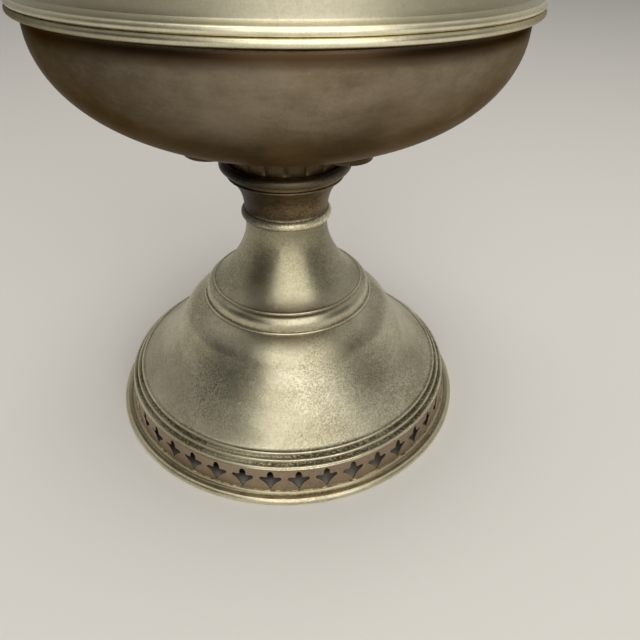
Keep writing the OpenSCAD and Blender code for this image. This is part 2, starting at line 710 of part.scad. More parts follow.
// Cone that turns the outer air onto the flame
module air_cone() {
  color(brass) turned([[seat_in - cone_t, seat_z], [seat_in, seat_z], [seat_in, seat_z + seat_t],
    [seat_in + 2.4, seat_z + seat_t], [seat_in + 2.4, seat_z + seat_t + cone_t],
    [seat_in + 0.2, seat_z + seat_t + cone_t], [cone_top_r + cone_t, cone_top_z], [cone_top_r, cone_top_z]]);
}

// Perforated thimble that stands in the draft tube and spreads the air
module flame_spreader() {
  body_z = tube_top + spreader_lift;
  top_z = body_z + spreader_rise;
  color(brass) difference() {
    turned([[shank_r - tube_t, tube_top - shank_l], [shank_r, tube_top - shank_l], [shank_r, tube_top + run_gap],
      [draft_out, tube_top + run_gap], [draft_out, body_z], [spreader_r, body_z], [spreader_r, top_z],
      [rivet_r, top_z], [rivet_r, top_z - tube_t], [spreader_r - tube_t, top_z - tube_t],
      [spreader_r - tube_t, body_z], [shank_r - tube_t, body_z - 0.8]]);
    for (row = [0:2]) around(spreader_holes, row * 180 / spreader_holes)
      translate([spreader_r - 2, 0, body_z + 1.8 + row * (spreader_rise - 3.6) / 2]) rotate([0, 90, 0])
        cylinder(r = spreader_hole_r, h = 4, $fn = 16);
  }
}

// Domed button over the spreader
module spreader_button() {
  z = tube_top + spreader_lift + spreader_rise;
  color(steel) turned(concat([[rivet_r, z], [button_r - 0.8, z]], arc([button_r - 0.8, z + 0.8], 0.8, -90, 60, 5),
    [[button_r * 0.55, z + button_h - 0.5], [rivet_r, z + button_h]]));
}

// Rivet through the button and the thimble
module spreader_rivet() {
  z = tube_top + spreader_lift + spreader_rise;
  color(brass) turned([[0, z - tube_t - 1.4], [rivet_r + 1, z - tube_t - 1.4], [rivet_r + 1, z - tube_t],
    [rivet_r, z - tube_t], [rivet_r, z + button_h], [rivet_r + 1.2, z + button_h],
    [rivet_r + 0.8, z + button_h + 0.9], [0, z + button_h + 1.3]]);
}

// Glass chimney with a low bulge over the flame
module chimney() {
  top_r = chimney_top_d / 2;
  foot_h = 13;
  z = chimney_z0;
  path = concat([[chimney_r, z], [chimney_r, z + foot_h]],
    bez([chimney_r, z + foot_h + 1], [chimney_r + 3, z + 0.41 * bulge_h], [chimney_r + 5.5, z + 0.69 * bulge_h],
      [chimney_r - 2, z + bulge_h], 10),
    bez([chimney_r - 2.6, z + bulge_h + 1.5], [top_r + 3, z + 1.28 * bulge_h], [top_r + 1, z + 1.45 * bulge_h],
      [top_r + 0.6, z + 1.9 * bulge_h], 8), [[top_r, z + chimney_h]]);
  color(clear_glass) spun(path, glass_t);
}

foot_flange();
pierced_band();
foot_bell();
base_plate();
stem_neck();
lock_nut();
crown_ring();
font_base_ring();
font_bowl();
font_shell();
font_collar();
draft_tube();
drip_cup();
filler_neck();
filler_gasket();
filler_cap();
burner_ring();
wick_tube();
wick();
wick_carrier();
wick_rack();
pinion();
raiser_spindle();
spindle_bush();
gland_nut();
knob();
air_gallery();
chimney_holder();
air_cone();
flame_spreader();
spreader_button();
spreader_rivet();
chimney();
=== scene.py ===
# Centre draft kerosene lamp: looks of every piece, in metres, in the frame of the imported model.
import json
import math

import bpy
from mathutils import Matrix, Vector, noise
from mathutils.geometry import delaunay_2d_cdt


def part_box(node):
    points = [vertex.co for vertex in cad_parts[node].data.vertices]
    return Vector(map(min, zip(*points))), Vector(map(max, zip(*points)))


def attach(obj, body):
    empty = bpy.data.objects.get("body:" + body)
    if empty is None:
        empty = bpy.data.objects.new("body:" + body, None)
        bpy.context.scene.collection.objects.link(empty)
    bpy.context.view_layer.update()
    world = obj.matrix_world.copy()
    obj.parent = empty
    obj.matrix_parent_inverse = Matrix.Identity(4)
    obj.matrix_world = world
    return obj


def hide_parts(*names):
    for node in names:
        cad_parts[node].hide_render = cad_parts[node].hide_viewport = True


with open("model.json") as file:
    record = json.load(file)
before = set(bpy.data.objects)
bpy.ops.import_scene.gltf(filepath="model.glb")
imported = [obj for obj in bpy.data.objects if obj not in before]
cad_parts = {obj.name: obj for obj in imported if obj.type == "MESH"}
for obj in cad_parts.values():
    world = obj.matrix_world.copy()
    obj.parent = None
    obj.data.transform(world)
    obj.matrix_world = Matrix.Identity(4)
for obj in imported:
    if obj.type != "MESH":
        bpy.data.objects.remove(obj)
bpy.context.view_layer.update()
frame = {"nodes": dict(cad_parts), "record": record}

# The viewpoint: a hand-held camera close in front of the lamp, looking down on its foot.
# Its place and turn were worked out from the outlines of the foot, stem and font.
eye = Vector((0.0, -0.23144, 0.20186))
eye_yaw = math.radians(3.911)
eye_pitch = math.radians(35.827)
eye_roll = math.radians(1.012)
focal_px = 560
picture_px = 640
sensor_mm = 36

level_share = math.cos(eye_pitch)
ahead = Vector((math.sin(eye_yaw) * level_share, math.cos(eye_yaw) * level_share, -math.sin(eye_pitch)))
level_right = ahead.cross(Vector((0, 0, 1))).normalized()
level_up = level_right.cross(ahead)
eye_right = math.cos(eye_roll) * level_right + math.sin(eye_roll) * level_up
eye_up = math.cos(eye_roll) * level_up - math.sin(eye_roll) * level_right
camera = bpy.data.objects.new("camera", bpy.data.cameras.new("camera"))
bpy.context.scene.collection.objects.link(camera)
camera.matrix_world = Matrix.Translation(eye) @ Matrix((eye_right, eye_up, -ahead)).transposed().to_4x4()
camera.data.sensor_width = sensor_mm
camera.data.lens = sensor_mm * focal_px / picture_px
camera.data.clip_start = 0.01
camera.data.clip_end = 30
bpy.context.scene.camera = camera
bpy.context.scene.view_settings.view_transform = "Standard"

# The studio: a pale floor, one broad soft lamp in front and a little to the right,
# another overhead, and a dim room, lighter behind, above and straight in front.
lamp_tint = (1.0, 0.975, 0.93)


def soft_lamp(name, place, aim, size, watts):
    lamp = bpy.data.objects.new(name, bpy.data.lights.new(name, "AREA"))
    lamp.data.shape = "RECTANGLE"
    lamp.data.size = size
    lamp.data.size_y = size
    lamp.data.energy = watts
    lamp.data.color = lamp_tint
    lamp.visible_camera = False
    lamp.visible_transmission = False
    bpy.context.scene.collection.objects.link(lamp)
    turn = (Vector(aim) - Vector(place)).to_track_quat("-Z", "Y")
    lamp.matrix_world = Matrix.Translation(place) @ turn.to_matrix().to_4x4()


soft_lamp("front_lamp", place=(0.19, -1.10, 0.76), aim=(0, 0, 0.10), size=1.5, watts=11.4)
soft_lamp("top_lamp", place=(0.05, -0.15, 1.9), aim=(0, 0, 0.06), size=1.2, watts=12.5)

room = bpy.data.worlds.new("room")
bpy.context.scene.world = room
room.use_nodes = True
room_nodes, room_links = room.node_tree.nodes, room.node_tree.links
room_way = room_nodes.new("ShaderNodeTexCoord")
room_split = room_nodes.new("ShaderNodeSeparateXYZ")
room_links.new(room_way.outputs["Generated"], room_split.inputs["Vector"])
room_level = None
# Each term: the axis of the direction, where its light starts and is full, and how much it adds.
room_terms = (
    ("Y", -0.25, 0.16, 0.32),
    ("Y", -0.80, -0.98, 0.20),
    ("Z", 0.3, 0.9, 0.20),
    ("X", 0.0, 0.9, 0.04),
    ("Z", -1.0, -0.9, 0.015),
)
for axis, low, high, gain in room_terms:
    part = room_nodes.new("ShaderNodeMapRange")
    part.interpolation_type = "SMOOTHSTEP"
    part.inputs["From Min"].default_value = low
    part.inputs["From Max"].default_value = high
    part.inputs["To Min"].default_value = 0.0
    part.inputs["To Max"].default_value = gain
    room_links.new(room_split.outputs[axis], part.inputs["Value"])
    if room_level is None:
        room_level = part.outputs["Result"]
        continue
    total = room_nodes.new("ShaderNodeMath")
    room_links.new(room_level, total.inputs[0])
    room_links.new(part.outputs["Result"], total.inputs[1])
    room_level = total.outputs["Value"]
room_links.new(room_level, room_nodes["Background"].inputs["Strength"])
room_nodes["Background"].inputs["Color"].default_value = (1.0, 0.98, 0.94, 1)

floor_half = 8.0
floor_corners = [(x * floor_half, y * floor_half, 0) for x, y in ((-1, -1), (1, -1), (1, 1), (-1, 1))]
floor_mesh = bpy.data.meshes.new("floor")
floor_mesh.from_pydata(floor_corners, [], [(0, 1, 2, 3)])
floor = bpy.data.objects.new("floor", floor_mesh)
bpy.context.scene.collection.objects.link(floor)
floor_paint = bpy.data.materials.new("floor_paint")
floor_paint.use_nodes = True
floor_shader = floor_paint.node_tree.nodes["Principled BSDF"]
floor_shader.inputs["Base Color"].default_value = (0.76, 0.74, 0.70, 1)
floor_shader.inputs["Roughness"].default_value = 0.75
floor.data.materials.append(floor_paint)

# Rolled rim of the foot: the edge of the spun brass is curled round a wire,
# and a hollow flange rises from it to the seat of the pierced band.
MM = 0.001


def reach(node):
    """Outer radius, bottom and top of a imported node, in millimetres."""
    lo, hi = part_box(node)
    return min(hi.x, -lo.x) / MM, lo.z / MM, hi.z / MM


def bezier(a, b, c, d, steps):
    points = []
    for i in range(steps + 1):
        t = i / steps
        u = 1 - t
        weights = (u**3, 3 * u * u * t, 3 * u * t * t, t**3)
        points.append(tuple(sum(w * v for w, v in zip(weights, values)) for values in zip(a, b, c, d)))
    return points


def arc(centre, radius, start, end, steps):
    turns = [math.radians(start + (end - start) * i / steps) for i in range(steps + 1)]
    return [(centre[0] + radius * math.cos(a), centre[1] + radius * math.sin(a)) for a in turns]


def inset(path, thickness):
    """The same path moved to its left, which gives the other face of a sheet."""
    moved = []
    for i, here in enumerate(path):
        before, after = path[max(i - 1, 0)], path[min(i + 1, len(path) - 1)]
        dr, dz = after[0] - before[0], after[1] - before[1]
        size = math.hypot(dr, dz)
        moved.append((here[0] - thickness * dz / size, here[1] + thickness * dr / size))
    return moved


nothing = 1e-6
nearly_straight = math.radians(150)


def softened(outline, radius, steps=3):
    """Rounds each sharp corner of a closed outline, by no more than its sides allow."""
    points = []
    count = len(outline)
    for i, here in enumerate(outline):
        p = Vector(here)
        back, on = Vector(outline[i - 1]) - p, Vector(outline[(i + 1) % count]) - p
        if back.length < nothing:
            continue
        if on.length < nothing or here[0] < nothing or back.angle(on) > nearly_straight:
            points.append(tuple(p))
            continue
        cut = min(radius, 0.45 * back.length, 0.45 * on.length)
        a, b = p + back.normalized() * cut, p + on.normalized() * cut
        for k in range(steps + 1):
            t = k / steps
            points.append(tuple((1 - t) ** 2 * a + 2 * t * (1 - t) * p + t * t * b))
    return points


def closer(outline, longest=1.6):
    """Divides the long sides of a closed outline, so that marks fade within a short way."""
    points = []
    for a, b in zip(outline, outline[1:] + outline[:1]):
        parts = max(1, math.ceil(math.dist(a, b) / longest))
        for k in range(parts):
            points.append((a[0] + (b[0] - a[0]) * k / parts, a[1] + (b[1] - a[1]) * k / parts))
    return points


full_bend = math.radians(70)


def hollowness(outline, window=0.9):
    """How far each point lies in a hollow, from -1 on a ridge to 1 in a groove."""
    count = len(outline)
    values = []
    for i in range(count):
        ends = []
        for step in (-1, 1):
            j, gone = i, 0.0
            while gone < window:
                k = (j + step) % count
                gone += math.dist(outline[j], outline[k])
                j = k
            ends.append(Vector(outline[j]) - Vector(outline[i]))
        back, on = ends
        turn = back.x * on.y - back.y * on.x
        bend = math.pi - back.angle(on, math.pi)
        values.append(max(-1.0, min(1.0, math.copysign(bend, turn) / full_bend)))
    return values


def nearness(here, places):
    """How much of each (radius, height, reach, amount) is felt at a point of an outline."""
    return sum(amount * math.exp(-((math.dist(here, spot) / size) ** 2)) for *spot, size, amount in places)


def turned(name, outline, steps=240, swell=None, dirt_and_shade=(), creases=1.0, stain_and_shadow=()):
    """Turns a closed outline of (radius, height) in millimetres round the lamp's axis.

    The dirt list gives places of dirt and of painted shade, the stain list places of stains and of painted
    shadows, both as for nearness; creases scales the marks of corners, which are dirt and painted shade."""
    area = sum(a[0] * b[1] - b[0] * a[1] for a, b in zip(outline, outline[1:] + outline[:1]))
    if area < 0:
        outline = outline[::-1]
    outline = closer(outline)
    hollow = []
    for here, corner in zip(outline, hollowness(outline)):
        hollow.append(corner * (creases if corner > 0 else 1) + nearness(here, dirt_and_shade))
    verts, rings, marks, stain_and_shadow_marks = [], [], [], []
    for (r, z), mark in zip(outline, hollow):
        stain_and_shadow_here = nearness((r, z), stain_and_shadow)
        row = []
        for j in range(1 if r < nothing else steps):
            a = 2 * math.pi * j / steps
            grow = swell(r, z, a) if swell else 0
            row.append(len(verts))
            verts.append(((r + grow) * MM * math.cos(a), (r + grow) * MM * math.sin(a), z * MM))
            marks.append(max(-1.0, min(1.0, mark)))
            stain_and_shadow_marks.append(min(1.0, stain_and_shadow_here))
        rings.append(row)
    faces = []
    for low, high in zip(rings, rings[1:] + rings[:1]):
        for j in range(steps):
            k = (j + 1) % steps
            corners = [low[j % len(low)], low[k % len(low)], high[k % len(high)], high[j % len(high)]]
            face = list(dict.fromkeys(corners))
            if len(face) > 2:
                faces.append(face)
    return made(name, verts, faces, marks, stain_and_shadow_marks)


def made(name, verts, faces, marks=None, stain_and_shadow_marks=None):
    mesh = bpy.data.meshes.new(name)
    mesh.from_pydata(verts, [], faces)
    mesh.update()
    for label, values in (("hollow", marks), ("stain_and_shadow", stain_and_shadow_marks)):
        if values:
            mesh.attributes.new(label, "FLOAT", "POINT").data.foreach_set("value", values)
    mesh.shade_smooth()
    mesh.set_sharp_from_angle(angle=math.radians(35))
    piece = bpy.data.objects.new(name, mesh)
    bpy.context.scene.collection.objects.link(piece)
    return piece


def dressed(piece, finish, body, slot, *nodes):
    """Gives a piece its finish and its body and hides the nodes that it stands for; slot is not used."""
    piece.data.materials.clear()
    piece.data.materials.append(finish)
    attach(piece, body)
    if nodes:
        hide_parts(*nodes)
    return piece


class Finish:
    """A material under construction: its shader and short ways to add and join nodes."""

    def __init__(self, name):
        self.material = bpy.data.materials.new(name)
        self.material.use_nodes = True
        self.nodes = self.material.node_tree.nodes
        self.links = self.material.node_tree.links
        self.shader = self.nodes["Principled BSDF"]
        self.place = self.nodes.new("ShaderNodeTexCoord").outputs["Object"]

    def noise(self, scale, detail=3, roughness=0.55, stretch=(1, 1, 1)):
        mapping = self.nodes.new("ShaderNodeMapping")
        mapping.inputs["Scale"].default_value = stretch
        self.links.new(self.place, mapping.inputs["Vector"])
        cloud = self.nodes.new("ShaderNodeTexNoise")
        cloud.inputs["Scale"].default_value = scale
        cloud.inputs["Detail"].default_value = detail
        cloud.inputs["Roughness"].default_value = roughness
        self.links.new(mapping.outputs["Vector"], cloud.inputs["Vector"])
        return cloud.outputs["Fac"]

    def cells(self, scale, output):
        cells = self.nodes.new("ShaderNodeTexVoronoi")
        cells.inputs["Scale"].default_value = scale
        self.links.new(self.place, cells.inputs["Vector"])
        return cells.outputs[output]

    def attribute(self, name):
        reader = self.nodes.new("ShaderNodeAttribute")
        reader.attribute_name = name
        return reader.outputs["Fac"]

    def along(self, axis):
        split = self.nodes.new("ShaderNodeSeparateXYZ")
        self.links.new(self.place, split.inputs["Vector"])
        return split.outputs[axis]

    def radius(self):
        flat = self.nodes.new("ShaderNodeVectorMath")
        flat.operation = "MULTIPLY"
        flat.inputs[1].default_value = (1, 1, 0)
        self.links.new(self.place, flat.inputs[0])
        length = self.nodes.new("ShaderNodeVectorMath")
        length.operation = "LENGTH"
        self.links.new(flat.outputs["Vector"], length.inputs[0])
        return length.outputs["Value"]

    def span(self, value, low, high, to_low=0.0, to_high=1.0):
        ranged = self.nodes.new("ShaderNodeMapRange")
        ranged.inputs["From Min"].default_value = low
        ranged.inputs["From Max"].default_value = high
        ranged.inputs["To Min"].default_value = to_low
        ranged.inputs["To Max"].default_value = to_high
        self.links.new(value, ranged.inputs["Value"])
        return ranged.outputs["Result"]

    def math(self, operation, a, b):
        node = self.nodes.new("ShaderNodeMath")
        node.operation = operation
        for socket, value in zip(node.inputs, (a, b)):
            if isinstance(value, (int, float)):
                socket.default_value = value
            else:
                self.links.new(value, socket)
        return node.outputs["Value"]

    def mix(self, share, a, b):
        node = self.nodes.new("ShaderNodeMix")
        node.data_type = "RGBA"
        self.links.new(share, node.inputs["Factor"])
        for socket, value in zip((node.inputs[6], node.inputs[7]), (a, b)):
            if isinstance(value, tuple):
                socket.default_value = (*value, 1)
            else:
                self.links.new(value, socket)
        return node.outputs[2]

    def scaled(self, colour, gain):
        node = self.nodes.new("ShaderNodeVectorMath")
        node.operation = "SCALE"
        self.links.new(colour, node.inputs[0])
        if isinstance(gain, float):
            node.inputs["Scale"].default_value = gain
        else:
            self.links.new(gain, node.inputs["Scale"])
        return node.outputs["Vector"]

    def bump(self, value, depth):
        node = self.nodes.new("ShaderNodeBump")
        node.inputs["Distance"].default_value = depth
        self.links.new(value, node.inputs["Height"])
        if self.shader.inputs["Normal"].is_linked:
            self.links.new(self.shader.inputs["Normal"].links[0].from_socket, node.inputs["Normal"])
        self.links.new(node.outputs["Normal"], self.shader.inputs["Normal"])

    def feed(self, socket, value):
        self.links.new(value, self.shader.inputs[socket])


def old_plate(
    name, clean, dull, grime_and_shade, rough=0.31, worn=0.7, stain_and_shadow_tone=(0.34, 0.29, 0.175), zones=(),
    hollow_solidity=0.4, grain=0.00006, pitted=0.55, polish_and_highlight=1.35, west_shade=None,
):
    """Worn plating: soft blotches, grainy worn patches, hollows darkened by dirt and by painted shade,
    and ridges rubbed lighter, which is partly a painted highlight.

    worn is how much the grain shows, hollow_solidity how solid the dark marks of hollows are in their gaps,
    grain the depth of the grain in metres, pitted the strength of the dark specks, and
    polish_and_highlight how much lighter a rubbed ridge is, partly as a painted highlight. zones lists
    (level, spread, clean, dull): below each level, in metres, the plate has other tones. west_shade gives
    (radius, share): painted shade darkens the plate towards -X, where it has that share of its
    brightness. grime_and_shade is the colour of the dark specks and of the hollows, stain_and_shadow_tone
    that of stains and of painted shadows."""
    f = Finish(name)
    f.shader.inputs["Metallic"].default_value = 1
    blotch = f.span(f.noise(14, 5, 0.62), 0.36, 0.66)
    colour = f.mix(blotch, clean, dull)
    for level, spread, clean_below, dull_below in zones:
        edge = f.math("ADD", f.along("Z"), f.span(f.noise(30, 5, 0.65), 0.25, 0.75, -spread, spread))
        below = f.mix(f.span(f.noise(38, 5, 0.7, (0.7, 0.7, 1.7)), 0.38, 0.62), clean_below, dull_below)
        colour = f.mix(f.span(edge, level - spread, level + spread), below, colour)
    # Painted shade: the plate is darker towards -X.
    if west_shade:
        colour = f.scaled(colour, f.span(f.along("X"), -0.9 * west_shade[0], 0.1 * west_shade[0], west_shade[1], 1.0))
    fine = f.cells(1900, "Color")
    patch = f.span(f.noise(22, 4, 0.6), 0.42, 0.62, 0.25, 1)
    share = f.math("MULTIPLY", patch, worn)
    colour = f.mix(share, colour, f.scaled(colour, f.span(fine, 0.25, 0.75, 0.60, 1.32)))
    specks = f.span(f.cells(720, "Distance"), 0.27, 0.12)
    pits = f.math("MULTIPLY", specks, f.span(f.noise(70, 4, 0.7), 0.47, 0.60, 0, pitted))
    colour = f.mix(pits, colour, grime_and_shade)
    # Stains, and the painted shadows listed with them, take the stain tone.
    colour = f.mix(f.attribute("stain_and_shadow"), colour, stain_and_shadow_tone)
    # Grooves and corners are darkened by the hollow layer: partly dirt, partly painted shade where shade
    # falls in them.
    hollow_grain = f.span(f.noise(1100, 3, 0.65), 0.38, 0.60, hollow_solidity, 1.25)
    ragged = f.span(f.noise(26, 3, 0.6), 0.38, 0.58, 0.5, 1.15)
    hollow = f.attribute("hollow")
    dirt_and_shade = f.math("MULTIPLY", f.math("MULTIPLY", f.span(hollow, 0.05, 0.5), hollow_grain), ragged)
    colour = f.mix(dirt_and_shade, colour, grime_and_shade)
    # Ridges are made lighter: partly rubbed wear, partly a painted highlight.
    rubbed_and_highlight = f.math("MULTIPLY", f.span(hollow, -0.2, -0.6), f.span(f.noise(120, 3), 0.3, 0.6, 0.6, 1))
    colour = f.mix(rubbed_and_highlight, colour, f.scaled(colour, polish_and_highlight))
    f.feed("Base Color", colour)
    shine = f.math("ADD", f.span(blotch, 0, 1, rough - 0.03, rough + 0.06), f.span(dirt_and_shade, 0, 1, 0, 0.3))
    shine = f.math("ADD", shine, f.span(share, 0, 1, 0, 0.12))
    f.feed("Roughness", f.math("SUBTRACT", shine, f.span(rubbed_and_highlight, 0, 1, 0, 0.02)))
    f.bump(f.noise(90, 3), 0.00012)
    f.bump(f.math("MULTIPLY", fine, patch), grain)
    return f.material


nickel_clean = (0.64, 0.60, 0.445)
nickel_dull = (0.48, 0.437, 0.30)
nickel_grime_and_shade = (0.085, 0.070, 0.038)
cone_middle = 0.084
cone_foot = 0.062
cone_zones = [
    (cone_middle, 0.008, (0.52, 0.485, 0.345), (0.40, 0.365, 0.245)),
    (cone_foot, 0.002, nickel_clean, nickel_dull),
]
foot_nickel = old_plate(
    "foot_nickel", (0.29, 0.265, 0.175), (0.21, 0.19, 0.12), nickel_grime_and_shade, worn=0.68, zones=cone_zones
)

foot_r, foot_z0, lip_z = reach("foot_flange")
band_r0, _, band_top = reach("pierced_band")
roll_r = 1.6
sheet = 1.0
lip_w = 3.6
lip_in = band_r0 - lip_w
roll_at = (foot_r - roll_r, roll_r - 0.15)
flange_foot = (roll_at[0] - 1.6, roll_at[1] + 1.25)
flange_low = (roll_at[0] - 2.4, roll_at[1] + 1.4)
rim = arc(roll_at, roll_r, -95, 115, 28)
rim += bezier(flange_foot, flange_low, (band_r0 + 1.4, lip_z), (band_r0, lip_z), 12)
rim += [(lip_in, lip_z), (lip_in, lip_z - sheet), (band_r0 + 0.6, lip_z - sheet)]
rim += arc(roll_at, roll_r, -190, -96, 10)
rim = [(r, max(z, foot_z0)) for r, z in rim]
flange_mid = (band_r0 + 2.2, lip_z - 0.7)
rim_stain = [(*flange_mid, 2.4, 0.6), (band_r0 + 0.3, lip_z - 0.1, 1.0, 0.3)]
rim_dirt = [(band_r0 + 0.2, lip_z, 0.5, 0.5)]
rolled_rim = turned("rolled_rim", softened(rim, 0.2), 300, dirt_and_shade=rim_dirt, creases=0.5, stain_and_shadow=rim_stain)
dressed(rolled_rim, foot_nickel, "lamp_body", "nickel", "foot_flange")

# Solder line: the band is sweated to the lip with soft solder, which ran out
# at the joint and was left as a thin, lumpy, yellowed line.
solder_steps = 900
solder_corners = 5
solder_size = 0.55
solder_seed = Vector((3.1, 7.7, 1.3))
verts = []
for i in range(solder_steps):
    a = 2 * math.pi * i / solder_steps
    round_it = Vector((math.cos(a), math.sin(a), 0))
    coarse_lump = noise.noise(round_it * 21 + solder_seed)
    fine_lump = noise.noise(round_it * 60 + solder_seed)
    size = solder_size * max(0.12, min(1.0, 0.62 + 0.55 * coarse_lump + 0.35 * fine_lump))
    for r, z in (
        (-0.3, -0.3),
        (1.5 * size, -0.25),
        (0.9 * size, 0.2 * size),
        (0.25 * size, 0.6 * size),
        (-0.3, 0.6 * size),
    ):
        verts.append((round_it * (band_r0 + r) + Vector((0, 0, lip_z + z))) * MM)
faces = []
for i in range(solder_steps):
    here, after = i * solder_corners, (i + 1) % solder_steps * solder_corners
    for c in range(solder_corners):
        d = (c + 1) % solder_corners
        faces.append((here + c, after + c, after + d, here + d))
solder = Finish("old_solder")
solder.shader.inputs["Metallic"].default_value = 1
crumb = solder.span(solder.noise(500, 4, 0.7), 0.38, 0.62)
solder.feed("Base Color", solder.mix(crumb, (0.09, 0.07, 0.03), (0.60, 0.53, 0.29)))
solder.feed("Roughness", solder.span(crumb, 0, 1, 0.7, 0.42))
solder.bump(solder.noise(900, 3), 0.0001)
dressed(made("band_solder", verts, faces), solder.material, "lamp_body", "nickel")

# Pierced band: a strip of brass stamped with a row of clubs, bent into a ring with
# a slight lean and soldered to the lip; the clubs let air in to the draft tube.
club_count = 42
club_w = 9.3
club_h = 10.1
club_foot = 0.7
club_turn = 1.9
band_lean = 1.1
band_t = 0.5


def club_outline(w, h, steps):
    neck = (0.15 * w, 0.19 * h)
    tip_r = 0.105 * w
    tip = arc((w / 2 - tip_r, 0.085 * h), tip_r, 100, -60, steps)
    lobe = bezier((0, h / 2), (0.09 * w, h / 2), (0.175 * w, 0.34 * h), neck, steps)
    arm = bezier(neck, (0.19 * w, 0.155 * h), (0.28 * w, 0.165 * h), tip[0], steps)
    flank = bezier(tip[-1], (0.31 * w, -0.06 * h), (0.15 * w, -0.20 * h), (0, -h / 2), steps)
    half = lobe + arm[1:] + tip[1:] + flank[1:]
    return half + [(-x, y) for x, y in half[-2:0:-1]]


def inside(point, outline):
    x, y = point
    hit = False
    for (ax, ay), (bx, by) in zip(outline, outline[1:] + outline[:1]):
        if (ay > y) != (by > y) and x < ax + (y - ay) * (bx - ax) / (by - ay):
            hit = not hit
    return hit


def pierced_sector(name, width_deg, height, hole, columns, rows, surface, thickness):
    """One bay of a pierced sheet: a grid with a hole, wrapped on surface(angle, height, depth)."""
    across = [width_deg * (i / columns - 0.5) for i in range(columns + 1)]
    up = [height * j / rows for j in range(rows + 1)]
    grid = [(u, v) for u in across for v in up if not inside((u, v), hole)]
    points = [Vector(p) for p in hole + grid]
    rim_edges = [(i, (i + 1) % len(hole)) for i in range(len(hole))]
    flat, _, tris, _, _, _ = delaunay_2d_cdt(points, rim_edges, [], 0, 1e-6)
    flat = [tuple(p) for p in flat]
    middles = [[sum(flat[i][k] for i in t) / 3 for k in (0, 1)] for t in tris]
    tris = [t for t, middle in zip(tris, middles) if not inside(middle, hole)]
    count = len(flat)
    verts = [surface(u, v, 0) for u, v in flat] + [surface(u, v, thickness) for u, v in flat]
    faces = [tuple(t) for t in tris] + [tuple(i + count for i in reversed(t)) for t in tris]
    used = dict.fromkeys((a, b) for t in tris for a, b in zip(t, (*t[1:], t[0])))
    for a, b in used:
        side = abs(abs(flat[a][0]) - width_deg / 2) < 1e-4 and abs(flat[a][0] - flat[b][0]) < 1e-4
        if (b, a) not in used and not side:
            faces.append((b, a, a + count, b + count))
    return made(name, verts, faces, [0.0] * len(verts))


def copies_tree():
    """Geometry Nodes tree: turns copies of a mesh round the lamp's axis and joins them."""
    tree = bpy.data.node_groups.new("copies_round_axis", "GeometryNodeTree")
    for name, way, kind in (
        ("Geometry", "INPUT", "Geometry"),
        ("Count", "INPUT", "Int"),
        ("Join Distance", "INPUT", "Float"),
        ("Finish", "INPUT", "Material"),
        ("Geometry", "OUTPUT", "Geometry"),
    ):
        tree.interface.new_socket(name, in_out=way, socket_type="NodeSocket" + kind)
    new, link = tree.nodes.new, tree.links.new
    given, result = new("NodeGroupInput"), new("NodeGroupOutput")
    points, index, step = new("GeometryNodePoints"), new("GeometryNodeInputIndex"), new("ShaderNodeMath")
    turn, angles = new("ShaderNodeMath"), new("ShaderNodeCombineXYZ")
    place, real = new("GeometryNodeInstanceOnPoints"), new("GeometryNodeRealizeInstances")
    join, paint = new("GeometryNodeMergeByDistance"), new("GeometryNodeSetMaterial")
    step.operation, turn.operation = "DIVIDE", "MULTIPLY"
    step.inputs[0].default_value = 2 * math.pi
    link(given.outputs["Count"], points.inputs["Count"])
    link(given.outputs["Count"], step.inputs[1])
    link(index.outputs["Index"], turn.inputs[0])
    link(step.outputs[0], turn.inputs[1])
    link(turn.outputs[0], angles.inputs["Z"])
    link(points.outputs[0], place.inputs["Points"])
    link(given.outputs["Geometry"], place.inputs["Instance"])
    link(angles.outputs[0], place.inputs["Rotation"])
    link(place.outputs["Instances"], real.inputs["Geometry"])
    link(real.outputs["Geometry"], join.inputs["Geometry"])
    link(given.outputs["Join Distance"], join.inputs["Distance"])
    link(join.outputs["Geometry"], paint.inputs["Geometry"])
    link(given.outputs["Finish"], paint.inputs["Material"])
    link(paint.outputs["Geometry"], result.inputs["Geometry"])
    return tree


round_axis = copies_tree()


def repeated(piece, count, finish, join_mm=0.004):
    """Replaces a piece's mesh by copies of it all round the axis."""
    modifier = piece.modifiers.new("copies", "NODES")
    modifier.node_group = round_axis
    values = {"Count": count, "Join Distance": join_mm * MM, "Finish": finish}
    for item in round_axis.interface.items_tree:
        if item.name in values:
            modifier[item.identifier] = values[item.name]
    piece.data.update()
    bpy.context.view_layer.update()
    seen = piece.evaluated_get(bpy.context.evaluated_depsgraph_get())
    whole = bpy.data.meshes.new_from_object(seen)
    piece.modifiers.clear()
    piece.data = whole
    return piece


bay_deg = 360 / club_count
band_h = band_top - lip_z
deg_per_mm = math.degrees(1 / (band_r0 - band_lean / 2))
club_mid = club_foot + club_h / 2
club_hole = [(x * deg_per_mm, club_mid + y) for x, y in club_outline(club_w, club_h, 8)][::-1]
first_club = math.radians(270 + club_turn)


def on_band(u, v, depth):
    r = band_r0 - band_lean * v / band_h - depth
    a = first_club + math.radians(u)
    return (r * MM * math.cos(a), r * MM * math.sin(a), (lip_z + v) * MM)


band_tone = old_plate("band_brass", (0.43, 0.34, 0.25), (0.32, 0.245, 0.17), (0.06, 0.042, 0.024), 0.5, 0.4)
band = pierced_sector("club_band", bay_deg, band_h, club_hole, 16, 14, on_band, band_t)
dressed(repeated(band, club_count, band_tone), band_tone, "lamp_body", "worn_nickel", "pierced_band")

# Bell of the foot, spun in one piece: three edge beads with coves between them,
# the hollow bell, a rounded step and the cone that carries the stem.
stem_top = 93.5
cove_count = 2
bead_pitch_r = 2.25
bead_pitch_z = 1.95
bead_r = 0.5
bell_h = 35.0
bell_z = band_top + 1.1 + 2 * bead_pitch_z
shoulder_z = bell_z + bell_h
shoulder_r = 39.6
step_r = 39.8
cone_r = 35.1
cone_z = 63.3
stem_r = 18.2
band_r1 = band_r0 - band_lean
bell_r = band_r1 - 1.6 - 2 * bead_pitch_r
bell_w = bell_r - shoulder_r


def ridge(centre, radius=bead_r, start=-35, end=125, steps=8):
    return arc((centre[0] - 0.7 * radius, centre[1] - 0.7 * radius), radius, start, end, steps)


